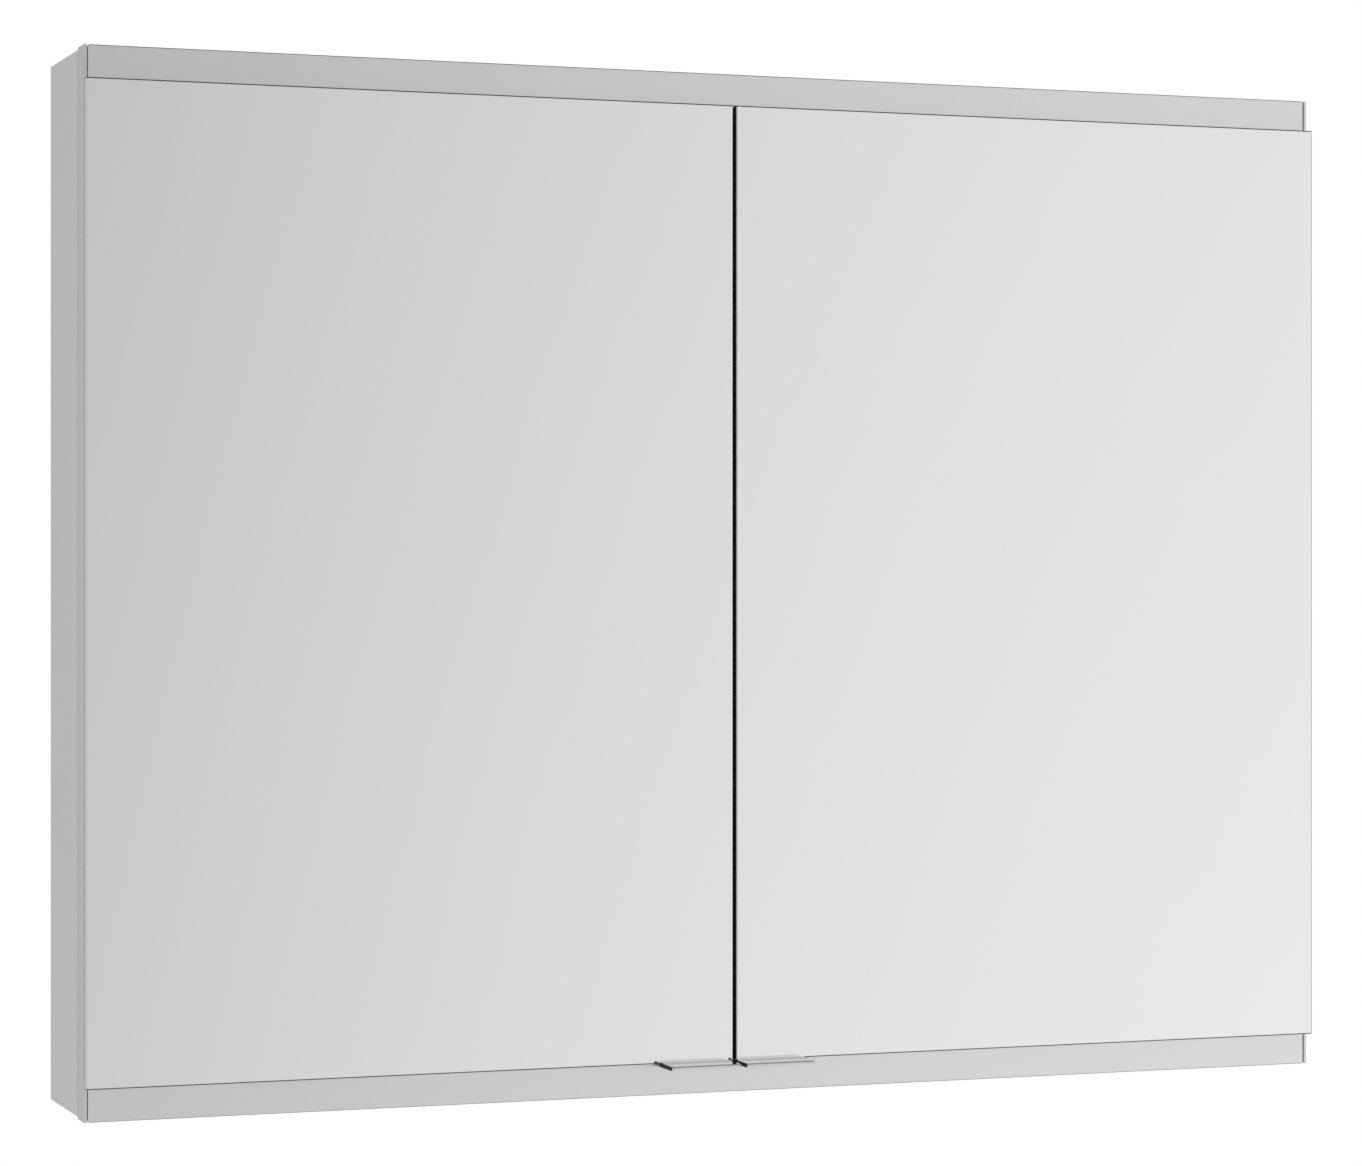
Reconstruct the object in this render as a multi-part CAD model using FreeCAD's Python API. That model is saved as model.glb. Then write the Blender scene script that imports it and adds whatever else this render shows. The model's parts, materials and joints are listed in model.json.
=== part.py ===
import FreeCAD, Part
import math
import os

# Two-door mirror cabinet with a light strip above and below the doors.
# Millimetres. X to the right, Y from the room to the wall (wall plane at 0), Z up.
# The origin is the centre of the wall fixing pattern, on the wall plane.

Vector = FreeCAD.Vector
X_AXIS = Vector(1, 0, 0)
Y_AXIS = Vector(0, 1, 0)
Z_AXIS = Vector(0, 0, 1)

# ---- overall ----
width = 900.0
height = 702.0              # over the front frame
body_depth = 111.7          # wall plane to the face of the front frame
frame_depth = 20.0          # front frame, front to back
body_inset = 1.5            # body top and bottom are set in behind the front frame

# ---- stock ----
side_wall = 2.0             # side walls and frame profiles
sheet = 1.5                 # folded sheets
seam_chamfer = 0.4          # forms the fine groove between frame and body
seat = 0.3                  # assembly gap between pieces that are fitted by hand
screw_gap = 0.1             # radial gap round a screw

# ---- screws: shank radius, head radius, head height ----
body_screw = (1.5, 2.8, 1.4)
panel_screw = (1.5, 2.8, 1.2)
base_screw = (1.5, 3.2, 1.6)
hook_screw = (2.0, 3.6, 1.6)
height_screw = (2.5, 3.6, 2.4)
screw_bite = 1.2            # past the piece under the head, into the next one
recess_width = 0.24         # the cross recess, as shares of the head's radius and height
recess_length = 1.2
recess_depth = 0.6

# ---- light strips ----
strip_height = 21.8
cover_wall = 2.0
cover_seam = 0.5            # each end of the cover
cover_radius = 0.7          # along the strip's outer front edge
cover_corner = 1.4          # each end of that edge, seen from the front
cover_back_gap = 0.2
ledge_depth = 4.0           # ledge and rib that the cover snaps over
ledge_height = 2.0
rib_wall = 1.2
housing_wall = 2.0
board_height = 10.0
board_thickness = 1.6
board_margin = 15.0         # each end of the board to the end of the trough
led_pitch = 20.0
led_size = (5.0, 1.2, 3.0)
led_lead_gap = 0.6          # a light is left out where the lead comes through

# ---- doors ----
door_reveal = 22.3          # frame top to door top, and frame bottom to door bottom
door_overhang = 0.37        # past the side of the frame
door_gap = 2.08             # between the doors
door_standoff = 2.3         # front frame to the back of the door
glass = 3.0                 # each of the door's two mirrors
glass_chamfer = 0.6

# ---- finger pulls ----
pull_length = 50.2
pull_inset = 1.16           # from the door's free edge
pull_reach = 19.0           # in front of the door
pull_plate = 3.1
pull_corner = 1.2
pull_edge = 0.6             # rounding of the plate's front edges
pull_leg_height = 26.0
pull_leg_wall = 1.5

# ---- hinges ----
hinge_from_door_end = 70.0
pivot_inset = 6.0           # from the inner face of the side wall
pivot_setback = 18.0        # behind the face of the front frame
pin_radius = 2.5
pin_fit = 0.04              # radial running fit in the arm
pin_seat = 0.01             # radial gap in the fixed ears
knuckle_radius = 4.0
knuckle_height = 14.0
ear_wall = 2.5
ear_gap = 0.3               # between ear and knuckle
base_wall = 2.5
base_height = 56.0
base_start = 28.0           # front edge of the base plate, behind the frame's face
base_length = 40.0
base_screw_inset = 9.0      # from the base plate's rear edge
ear_root = 22.0             # length of an ear where it joins the plate
arm_wall = 4.0
arm_bend = 3.0
arm_reach = 21.0            # pivot to the outer face of the arm's forward leg
pad_wall = 1.5
pad_length = 44.0
pad_height = 40.0
pad_overlap = 5.0           # pad past the outer face of the forward leg
pad_corner = 4.0
pin_head = (0.9, 1.2)       # past the pin's side, and how thick
pin_end = (0.4, 0.8)
base_screw_pitch = 40.0

# ---- inside ----
back_recess = 12.5          # wall plane to the back wall
mirror_thickness = 3.0
partition_width = 16.0
shelf_thickness = 5.0
shelf_front_gap = 12.7      # front frame's face to the shelf's front edge
shelf_back_gap = 4.0        # interior mirror to the shelf's rear edge
shelf_corner = 3.0
shelf_height = 110.0        # shelves stand this far above and below the middle
shelf_end_gap = 2.0
row_inset_front = 27.0      # rows of shelf supports, in from the shelf's edges
row_inset_back = 13.0
support_radius = 2.5
support_collar = 4.0
collar_wall = 1.2
support_length = 9.0
hole_pitch = 32.0
rail_width = 12.0
rail_thickness = 2.0
rail_end_margin = 8.0       # last hole to the end of a perforated rail, at least
rail_hinge_gap = 30.0       # perforated rail to the hinge base
tongue_start = 10.0         # inner tongue of the frame profile, behind the frame's face
tongue_end = 26.0
wall_flange = 17.0
wall_screw_inset = 5.0      # from the free edge of a top or bottom wall's flange
wall_screw_front = 20.0     # behind the frame
wall_screw_back = 12.0      # in front of the back wall
profile_screw_z = (-160.0, 0.0, 160.0)
panel_screw_inner = 130.0   # panel screws, from the middle
panel_screw_outer = 68.0    # and from the side walls
panel_front_gap = 1.0
tray_gap = 0.1              # back wall to the walls round it
tray_edge = 2.0             # wall plane to the tray's turned edges

# ---- catch and bumpers ----
catch_inset = 4.5           # from the middle of the cabinet
magnet_width = 4.0
magnet_height = 22.0
magnet_depth = 5.0
magnet_proud = 0.8
magnet_gap = 0.1
strike_width = 6.8
strike_margin = 2.0         # strike plate past each end of the magnet
strike_thickness = 1.2
bumper_radius = 2.4
bumper_inset = 30.0         # from the door's top or bottom

# ---- light supply ----
driver_length = 150.0
driver_width = 42.0
driver_height = 16.0
driver_x = -125.0
driver_gap = 16.7           # front frame to the driver
driver_foot = (12.0, 16.0, 2.0)
driver_corner = 3.0
foot_screw_out = 6.0        # from the driver's end
terminal_length = 40.0
terminal_width = 18.0
terminal_height = 13.0
terminal_gap = 12.0         # interior mirror to the terminal block
well_radius = 2.2
well_depth = 4.0
well_inset = 7.0
well_pitch = 13.0
well_row = 5.0
inlet_x = 80.0
inlet_bore = 4.0
inlet_neck = 6.0
inlet_flange = 8.0
inlet_flange_wall = 1.5
lead_radius = 2.0
lead_gap = 1.0              # radial gap where a lead passes a wall
board_lead_gap = 0.5
lead_offset = 12.0          # lower light lead behind the upper one, at the driver's end
supply_offset = 18.0        # supply lead behind the upper light lead
lead_run = 30.0             # driver's end to where the upper lead turns forward
upper_bend = 12.0
lower_bend = 9.0
switch_inset = 48.0         # from the inner face of the side wall
switch_offset = 4.0         # behind the driver's middle
switch_lead_radius = 1.5
switch_lead_offset = 5.0    # behind the driver's middle
switch_lead_x = 4.5         # where the switch lead rises inside the partition
button_radius = 5.0
button_gap = 0.3
button_proud = 1.5
button_edge = 0.8
button_length = 10.0
switch_body = 18.0
switch_depth = 13.0
switch_neck = 1.0
neck_gap = 0.2
well_floor = 2.0
bezel_radius = 8.5
bezel_wall = 1.0

# ---- wall fixing ----
fixing_from_side = 150.0    # side of the cabinet to the outer fixing slots
fixing_from_end = 69.5      # top or bottom of the body to the fixing slots
slot_radius = 3.25
slot_length = 16.0
rail_from_side = 50.0
rail_plate = 2.0
rail_plate_height = 36.0
rail_hook_depth = 8.0
rail_lip = 12.0
spacer_lip = 14.0
hook_from_rail_end = 70.0
hook_width = 46.0
hook_wall = 2.0
hook_overhang = 0.4
hook_drop = 26.0            # hook plate below the rail's top
hook_lip = 9.0
hook_screw_drop = 16.0
hook_screw_pitch = 24.0
height_screw_out = 5.0      # height screw's head above the hook

# ---- places worked out from the above ----
half_width = width / 2
half_height = height / 2
front = -body_depth
frame_back = front + frame_depth
body_top = half_height - body_inset
inner_side = half_width - side_wall
strip_floor = half_height - strip_height
panel_top = strip_floor - housing_wall
panel_bottom = panel_top - sheet
door_back = front - door_standoff
door_face = door_back - 2 * glass
door_top = half_height - door_reveal
door_outer = half_width + door_overhang
door_inner = door_gap / 2
hinge_z = door_top - hinge_from_door_end
ear_start = knuckle_height / 2 + ear_gap
pivot_x = inner_side - pivot_inset
pivot_y = front + pivot_setback
back_face = -back_recess - sheet
mirror_face = back_face - mirror_thickness
partition_side = partition_width / 2
rail_face = inner_side - rail_thickness
shelf_front = front + shelf_front_gap
shelf_back = mirror_face - shelf_back_gap
support_rows = (shelf_front + row_inset_front, shelf_back - row_inset_back)
rail_reach = hinge_z - base_height / 2 - rail_hinge_gap
holes_each_way = int((rail_reach - rail_end_margin - shelf_height) // hole_pitch)
bumper_z = door_top - bumper_inset
inlet_z = (panel_top + body_top - sheet) / 2
driver_y = frame_back + driver_gap + driver_width / 2
driver_end = driver_x + driver_length / 2
lead_exit_x = driver_end + lead_run
lead_drop_y = driver_y + lead_offset
lead_end_y = frame_back - housing_wall - board_thickness
switch_x = inner_side - switch_inset
switch_y = driver_y + switch_offset
switch_lead_y = driver_y + switch_lead_offset
fixing_x = half_width - fixing_from_side
fixing_z = body_top - fixing_from_end
rail_ends = (rail_from_side - half_width, half_width - rail_from_side)
rail_top = fixing_z + rail_plate_height / 2
lip_top = rail_top - rail_plate + rail_lip
lip_middle = rail_plate / 2 - rail_hook_depth
hook_x = rail_ends[1] - hook_from_rail_end
hook_top = lip_top + hook_overhang + hook_wall


# ---- plain shapes ----
def box(x, y, z):
    """Box between three pairs of limits."""
    size = [max(pair) - min(pair) for pair in (x, y, z)]
    return Part.makeBox(*size, Vector(min(x), min(y), min(z)))


def rod(radius, start, direction, length):
    return Part.makeCylinder(radius, length, start, direction)


def outline_prism(points, travel):
    """Solid swept by a closed outline of points along a straight travel."""
    wire = Part.makePolygon(points + [points[0]])
    return Part.Face(wire).extrude(travel)


def fuse(first, *others):
    return first.multiFuse(list(others)).removeSplitter()


def cut(shape, *tools):
    return shape.cut(list(tools))


def placed(shape, side=1, level=1):
    """The right-hand upper piece, mirrored to the left (side -1) or down (level -1)."""
    if side < 0:
        shape = shape.mirror(Vector(), X_AXIS)
    if level < 0:
        shape = shape.mirror(Vector(), Z_AXIS)
    return shape


def fillet_along(shape, direction, radius, chosen):
    """Round the straight edges along one direction whose middle passes the test."""
    edges = []
    for edge in shape.Edges:
        if len(edge.Vertexes) != 2:
            continue
        run = edge.Vertexes[1].Point - edge.Vertexes[0].Point
        if run.cross(direction).Length < 1e-6 and chosen(edge.CenterOfMass):
            edges.append(edge)
    return shape.makeFillet(radius, edges)


def screw(seat_point, direction, size, length):
    """Pan head screw: the head sits on seat_point, the shank runs along direction."""
    shank, head_radius, head_height = size
    top = seat_point - direction * head_height
    body = fuse(rod(head_radius, top, direction, head_height),
                rod(shank, seat_point, direction, length))
    across = X_AXIS if abs(direction.x) < 0.5 else Z_AXIS
    upright = direction.cross(across)
    long, short = head_radius * recess_length, head_radius * recess_width
    recess = []
    for along, beside in ((across, upright), (upright, across)):
        corner = top - along * long / 2 - beside * short / 2
        points = [corner, corner + along * long]
        points += [points[1] + beside * short, corner + beside * short]
        recess.append(outline_prism(points, direction * head_height * recess_depth))
    return cut(body, *recess)


def screw_hole(seat_point, direction, size, length):
    """Clearance hole for a screw, begun just before its seat."""
    return rod(size[0] + screw_gap, seat_point - direction, direction, 1 + length)


def tube(points, radius, bend):
    """Round lead along straight runs joined by tangent arcs of one bend radius."""
    edges = []
    start = points[0]
    for before, corner, after in zip(points, points[1:], points[2:]):
        inward = (before - corner).normalize()
        outward = (after - corner).normalize()
        half_turn = (math.pi - inward.getAngle(outward)) / 2
        trim = bend * math.tan(half_turn)
        first, last = corner + inward * trim, corner + outward * trim
        centre_line = (inward + outward).normalize()
        middle = corner + centre_line * (bend / math.cos(half_turn) - bend)
        edges.append(Part.LineSegment(start, first).toShape())
        edges.append(Part.Arc(first, middle, last).toShape())
        start = last
    edges.append(Part.LineSegment(start, points[-1]).toShape())
    profile = Part.Wire(Part.makeCircle(radius, points[0], points[1] - points[0]))
    return Part.Wire(edges).makePipeShell([profile], True, True)


# ---- body ----
def profile_screw_points():
    x = inner_side - sheet
    y = (frame_back + front + tongue_end) / 2
    return [Vector(x, y, z) for z in profile_screw_z]


def wall_screw_points():
    """Screws that hold the ends of the top wall, seated inside its end flange."""
    x = inner_side - sheet
    z = body_top - wall_flange + wall_screw_inset
    return [Vector(x, y, z) for y in (frame_back + wall_screw_front, back_face - wall_screw_back)]


def side_wall_panel():
    """Side wall, with blind holes for the screws that come from inside."""
    c = seam_chamfer
    points = [Vector(inner_side, frame_back, -body_top),
              Vector(half_width - c, frame_back, -body_top),
              Vector(half_width, frame_back + c, -body_top),
              Vector(half_width, 0, -body_top),
              Vector(inner_side, 0, -body_top)]
    panel = outline_prism(points, Z_AXIS * 2 * body_top)
    bite = screw_bite + screw_gap
    holes = [screw_hole(point, X_AXIS, body_screw, sheet + bite) for point in profile_screw_points()]
    for level in (-1, 1):
        holes += [placed(screw_hole(point, X_AXIS, base_screw, base_wall + bite), level=level)
                  for point in base_screw_points()]
        holes += [placed(screw_hole(point, X_AXIS, body_screw, sheet + bite), level=level)
                  for point in wall_screw_points()]
    return cut(panel, *holes)


def frame_profile():
    """Upright of the front frame, with an inner tongue that the side wall is screwed to."""
    c = seam_chamfer
    points = [Vector(inner_side, front, -half_height),
              Vector(half_width, front, -half_height),
              Vector(half_width, frame_back - c, -half_height),
              Vector(half_width - c, frame_back, -half_height),
              Vector(inner_side, frame_back, -half_height)]
    web = outline_prism(points, Z_AXIS * 2 * half_height)
    tongue_top = panel_bottom - seat
    tongue = box((inner_side - sheet, inner_side), (front + tongue_start, front + tongue_end),
                 (-tongue_top, tongue_top))
    holes = [screw_hole(point, X_AXIS, body_screw, sheet) for point in profile_screw_points()]
    return cut(fuse(web, tongue), *holes)


def end_wall(lead_x):
    """Top wall: a sheet with a front flange and two end flanges turned down."""
    low = body_top - wall_flange
    plate = box((-inner_side, inner_side), (frame_back, 0), (body_top - sheet, body_top))
    lip = box((-inner_side, inner_side), (frame_back, frame_back + sheet), (low, body_top))
    ends = [box((side * (inner_side - sheet), side * inner_side), (frame_back, back_face - tray_edge),
                (low, body_top)) for side in (-1, 1)]
    holes = [placed(screw_hole(point, X_AXIS, body_screw, sheet), side)
             for point in wall_screw_points() for side in (-1, 1)]
    lead_hole = rod(lead_radius + lead_gap, Vector(lead_x, frame_back - 1, inlet_z), Y_AXIS, sheet + 2)
    return cut(fuse(plate, lip, *ends), lead_hole, *holes)


def bottom_wall():
    wall = placed(end_wall(0), level=-1)
    button_hole = rod(button_radius + button_gap + switch_neck + neck_gap,
                      Vector(switch_x, switch_y, -body_top - 1), Z_AXIS, sheet + 2)
    return cut(wall, button_hole)


def body_screws():
    """Screws into the side walls: wall ends at the corners, and the frame profiles."""
    length = sheet + screw_bite
    corners = [placed(screw(point, X_AXIS, body_screw, length), side, level)
               for point in wall_screw_points() for side in (-1, 1) for level in (-1, 1)]
    profiles = [placed(screw(point, X_AXIS, body_screw, length), side)
                for point in profile_screw_points() for side in (-1, 1)]
    return corners + profiles


def back_wall():
    """Back wall: a tray whose edges are turned back towards the wall."""
    across = inner_side - tray_gap
    up = body_top - sheet - tray_gap
    block = box((-across, across), (back_face, -tray_edge), (-up, up))
    hollow = box((-across + sheet, across - sheet), (-back_recess, 0), (-up + sheet, up - sheet))
    inlet = rod(inlet_neck + seat, Vector(inlet_x, back_face - 1, inlet_z), Y_AXIS, sheet + 2)
    holes = [screw_hole(point, -Y_AXIS, hook_screw, hook_wall + 2 * sheet) for point in hook_screw_points()]
    return cut(block, hollow, inlet, *holes)


def interior_mirror():
    return box((partition_side + seat, inner_side - seat), (mirror_face, back_face),
               (-panel_bottom + seat, panel_bottom - seat))


def inner_panel(screw_points):
    """Panel that closes the wiring space above the shelves."""
    plate = box((-inner_side + sheet + seat, inner_side - sheet - seat),
                (front + panel_front_gap, back_face - tray_gap), (panel_bottom, panel_top))
    lead_holes = [rod(radius + lead_gap, Vector(x, y, panel_bottom - 1), Z_AXIS, sheet + 2)
                  for radius, x, y in ((lead_radius, 0, lead_drop_y),
                                       (switch_lead_radius, switch_lead_x, switch_lead_y))]
    holes = [rod(panel_screw[0] + screw_gap, Vector(point.x, point.y, panel_bottom - 1), Z_AXIS, sheet + 2)
             for point in screw_points]
    return cut(plate, *lead_holes, *holes)


def panel_screw_points():
    y = front + frame_depth / 2
    outer = inner_side - panel_screw_outer
    return [Vector(x, y, panel_bottom) for x in (-outer, -panel_screw_inner, panel_screw_inner, outer)]


def panel_screws():
    """Screws of the two inner panels and of the driver."""
    length = sheet + housing_wall
    panels = [placed(screw(point, Z_AXIS, panel_screw, length), level=level)
              for point in panel_screw_points() for level in (-1, 1)]
    return panels + [screw(point, -Z_AXIS, panel_screw, length) for point in driver_screw_points()]


# ---- light strips ----
def light_housing(lead_x):
    """Open trough behind the cover, also the rail that joins the two frame profiles."""
    ends = (-inner_side + seat, inner_side - seat)
    rear_face = frame_back - housing_wall
    floor = box(ends, (front, frame_back), (panel_top, strip_floor))
    rear = box(ends, (rear_face, frame_back), (panel_top, half_height))
    ledge_top = half_height - cover_wall
    ledge = box(ends, (rear_face - ledge_depth, rear_face), (ledge_top - ledge_height, ledge_top))
    rib_y = front + cover_wall
    rib = box(ends, (rib_y, rib_y + rib_wall), (strip_floor, strip_floor + ledge_height))
    holes = [screw_hole(point, Z_AXIS, panel_screw, sheet + housing_wall + 2)
             for point in panel_screw_points()]
    lead_hole = rod(lead_radius + lead_gap, Vector(lead_x, rear_face - 1, inlet_z), Y_AXIS, housing_wall + 2)
    return cut(fuse(floor, rear, ledge, rib), lead_hole, *holes)


def light_cover():
    """Satin cover: wraps the front and the outer edge of the strip."""
    ends = (-inner_side + cover_seam, inner_side - cover_seam)
    back = frame_back - housing_wall - cover_back_gap
    block = box(ends, (front, back), (strip_floor, half_height))
    block = fillet_along(block, Y_AXIS, cover_corner, lambda m: m.z > half_height - cover_corner)
    rim = [edge for edge in block.Edges
           if abs(edge.BoundBox.YMin - front) < 0.01 and abs(edge.BoundBox.YMax - front) < 0.01
           and edge.CenterOfMass.z > strip_floor + 0.01]
    block = block.makeFillet(cover_radius, rim)
    hollow = box((ends[0] - 1, ends[1] + 1), (front + cover_wall, back + 1),
                 (strip_floor - 1, half_height - cover_wall))
    return cut(block, hollow)


def led_positions():
    count = int((2 * inner_side - 2 * board_margin) // led_pitch)
    return [(index - (count - 1) / 2) * led_pitch for index in range(count)]


def led_board(lead_x):
    half = led_positions()[-1] + led_pitch / 2
    board = box((-half, half), (lead_end_y, lead_end_y + board_thickness),
                (inlet_z - board_height / 2, inlet_z + board_height / 2))
    hole = rod(lead_radius + board_lead_gap, Vector(lead_x, lead_end_y - 1, inlet_z), Y_AXIS,
               board_thickness + 2)
    return cut(board, hole)


def leds(lead_x):
    long, deep, tall = led_size
    clear = long / 2 + lead_radius + led_lead_gap
    return [box((x - long / 2, x + long / 2), (lead_end_y - deep, lead_end_y),
                (inlet_z - tall / 2, inlet_z + tall / 2))
            for x in led_positions() if abs(x - lead_x) > clear]


# ---- doors ----
def mirror_sheet(y_front, y_back, chamfered_y):
    sheet_box = box((door_inner, door_outer), (y_front, y_back), (-door_top, door_top))
    edges = [edge for edge in sheet_box.Edges
             if all(abs(v.Point.y - chamfered_y) < 0.01 for v in edge.Vertexes)]
    return sheet_box.makeChamfer(glass_chamfer, edges)


def door_front_mirror():
    return mirror_sheet(door_face, door_face + glass, door_face)


def door_back_mirror():
    return mirror_sheet(door_face + glass, door_back, door_back)


def finger_pull():
    """Flat tab under the door, with a leg up the door's back."""
    start = door_inner + pull_inset
    across = (start, start + pull_length)
    low, high = -door_top - pull_plate, -door_top
    back = door_back + pull_leg_wall
    tip = door_face - pull_reach
    plate = box(across, (tip, back), (low, high))
    leg = box(across, (door_back, back), (low, high + pull_leg_height))
    pull = fillet_along(fuse(plate, leg), Z_AXIS, pull_corner, lambda m: m.y < tip + 0.01)
    return fillet_along(pull, X_AXIS, pull_edge, lambda m: m.y < tip + 0.01)


def strike_plate():
    x = door_inner + catch_inset
    reach = magnet_height / 2 + strike_margin
    return box((x - strike_width / 2, x + strike_width / 2), (door_back, door_back + strike_thickness),
               (-reach, reach))


# ---- hinges ----
def base_screw_points():
    """Where the hinge base is screwed to the side wall."""
    x = inner_side - base_wall
    y = front + base_start + base_length - base_screw_inset
    return [Vector(x, y, hinge_z + step * base_screw_pitch / 2) for step in (-1, 1)]


def hinge_base():
    """Plate on the side wall with two ears that hold the hinge pin."""
    face = inner_side - base_wall
    start = front + base_start
    plate = box((face, inner_side), (start, start + base_length),
                (hinge_z - base_height / 2, hinge_z + base_height / 2))
    ears = []
    for low in (hinge_z + ear_start, hinge_z - ear_start - ear_wall):
        eye = rod(knuckle_radius, Vector(pivot_x, pivot_y, low), Z_AXIS, ear_wall)
        web = outline_prism([Vector(pivot_x - knuckle_radius, pivot_y, low),
                             Vector(pivot_x + knuckle_radius, pivot_y, low),
                             Vector(pivot_x + knuckle_radius, start, low),
                             Vector(face, start, low),
                             Vector(face, start + ear_root, low)], Z_AXIS * ear_wall)
        ears += [eye, web]
    bore = rod(pin_radius + pin_seat, Vector(pivot_x, pivot_y, hinge_z - base_height / 2), Z_AXIS,
               base_height)
    holes = [screw_hole(point, X_AXIS, base_screw, base_wall + 1) for point in base_screw_points()]
    return cut(fuse(plate, *ears), bore, *holes)


def base_screws():
    length = base_wall + screw_bite
    return [placed(screw(point, X_AXIS, base_screw, length), side, level)
            for point in base_screw_points() for side in (-1, 1) for level in (-1, 1)]


def hinge_pin():
    """Pin with a low head above the upper ear and a peened end under the lower one."""
    top = hinge_z + ear_start + ear_wall
    foot = hinge_z - ear_start - ear_wall
    shank = rod(pin_radius, Vector(pivot_x, pivot_y, foot), Z_AXIS, top - foot)
    head = rod(pin_radius + pin_head[0], Vector(pivot_x, pivot_y, top), Z_AXIS, pin_head[1])
    end = rod(pin_radius + pin_end[0], Vector(pivot_x, pivot_y, foot), -Z_AXIS, pin_end[1])
    return fuse(shank, head, end)


def hinge_arm():
    """Cranked arm: knuckle, a leg into the cabinet, a leg to the door and the glued pad."""
    low, high = hinge_z - knuckle_height / 2, hinge_z + knuckle_height / 2
    outer = pivot_x - arm_reach
    inner = outer - arm_wall
    leg_back = pivot_y + arm_wall
    pad_back = door_back + pad_wall
    knuckle = rod(knuckle_radius, Vector(pivot_x, pivot_y, low), Z_AXIS, knuckle_height)
    side_leg = box((inner, pivot_x), (pivot_y, leg_back), (low, high))
    forward_leg = box((inner, outer), (pad_back, leg_back), (low, high))
    arm = fillet_along(fuse(knuckle, side_leg, forward_leg), Z_AXIS, arm_bend,
                       lambda m: m.x < inner + 0.01 and m.y > pivot_y)
    pad_end = outer + pad_overlap
    pad = box((pad_end - pad_length, pad_end), (door_back, pad_back),
              (hinge_z - pad_height / 2, hinge_z + pad_height / 2))
    pad = fillet_along(pad, Y_AXIS, pad_corner, lambda m: True)
    bore = rod(pin_radius + pin_fit, Vector(pivot_x, pivot_y, low - 1), Z_AXIS, knuckle_height + 2)
    return cut(fuse(arm, pad), bore)


# ---- partition, shelves and their supports ----
def support_points():
    """Places of every support hole on the right-hand side: (y, z)."""
    steps = range(-holes_each_way, holes_each_way + 1)
    return [(row, level - support_radius + step * hole_pitch)
            for row in support_rows for level in (-shelf_height, shelf_height) for step in steps]


def partition():
    """Upright between the bays: a sheet folded to a U, open at its back."""
    side = partition_side
    block = box((-side, side), (front, mirror_face), (-panel_bottom, panel_bottom))
    hollow = box((-side + sheet, side - sheet), (front + sheet, 0), (-panel_bottom - 1, panel_bottom + 1))
    holes = [rod(support_radius + screw_gap, Vector(-side - 1, y, z), X_AXIS, partition_width + 2)
             for y, z in support_points()]
    slot_side = magnet_width / 2 + magnet_gap
    slot_end = magnet_height / 2 + magnet_gap
    slots = [box((x - slot_side, x + slot_side), (front - 1, front + sheet + 1), (-slot_end, slot_end))
             for x in (-catch_inset, catch_inset)]
    return cut(block, hollow, *holes, *slots)


def shelf_rails(side):
    """Two perforated strips on one side wall."""
    rails = []
    for row in support_rows:
        strip = box((rail_face, inner_side), (row - rail_width / 2, row + rail_width / 2),
                    (-rail_reach, rail_reach))
        holes = [rod(support_radius + screw_gap, Vector(rail_face - 1, y, z), X_AXIS, rail_thickness + 2)
                 for y, z in support_points() if y == row]
        rails.append(placed(cut(strip, *holes), side))
    return rails


def glass_shelf(level):
    ends = (partition_side + shelf_end_gap, rail_face - shelf_end_gap)
    low = level * shelf_height
    shelf = box(ends, (shelf_front, shelf_back), (low, low + shelf_thickness))
    return fillet_along(shelf, Z_AXIS, shelf_corner, lambda m: m.y < shelf_front + 0.01)


def shelf_support(face_x, direction, y, z):
    """Peg in a support hole, with a collar against the face it stands on."""
    face = Vector(face_x, y, z)
    peg = rod(support_radius, face - direction * sheet, direction, sheet + support_length)
    collar = rod(support_collar, face, direction, collar_wall)
    return fuse(peg, collar)


def shelf_supports():
    pegs = []
    for level in (-shelf_height, shelf_height):
        for row in support_rows:
            z = level - support_radius
            for side in (-1, 1):
                pegs.append(placed(shelf_support(rail_face, -X_AXIS, row, z), side))
                pegs.append(placed(shelf_support(partition_side, X_AXIS, row, z), side))
    return pegs


def catch_magnet():
    return box((catch_inset - magnet_width / 2, catch_inset + magnet_width / 2),
               (front - magnet_proud, front - magnet_proud + magnet_depth),
               (-magnet_height / 2, magnet_height / 2))


def door_bumpers():
    thickness = door_standoff - seat
    return [placed(rod(bumper_radius, Vector(catch_inset, front - thickness, bumper_z), Y_AXIS, thickness),
                   side, level) for side in (-1, 1) for level in (-1, 1)]


# ---- light supply ----
def driver_screw_points():
    out = driver_length / 2 + foot_screw_out
    return [Vector(driver_x + step * out, driver_y, panel_top + driver_foot[2]) for step in (-1, 1)]


def led_driver():
    """Driver case with a screwed foot at each end."""
    half = driver_length / 2
    reach, foot_width, foot_wall = driver_foot
    body = box((driver_x - half, driver_x + half), (driver_y - driver_width / 2, driver_y + driver_width / 2),
               (panel_top, panel_top + driver_height))
    body = fillet_along(body, Z_AXIS, driver_corner, lambda m: True)
    feet = box((driver_x - half - reach, driver_x + half + reach),
               (driver_y - foot_width / 2, driver_y + foot_width / 2), (panel_top, panel_top + foot_wall))
    holes = [screw_hole(point, -Z_AXIS, panel_screw, foot_wall + 1) for point in driver_screw_points()]
    return cut(fuse(body, feet), *holes)


def terminal_block():
    low_x, high_x = inlet_x - terminal_length / 2, inlet_x + terminal_length / 2
    high_y = mirror_face - terminal_gap
    low_y = high_y - terminal_width
    top = panel_top + terminal_height
    body = box((low_x, high_x), (low_y, high_y), (panel_top, top))
    first = Vector(low_x + well_inset, low_y + well_row, top - well_depth)
    wells = [rod(well_radius, first + X_AXIS * step * well_pitch, Z_AXIS, well_depth + 1)
             for step in range(3)]
    return cut(body, *wells)


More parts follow.
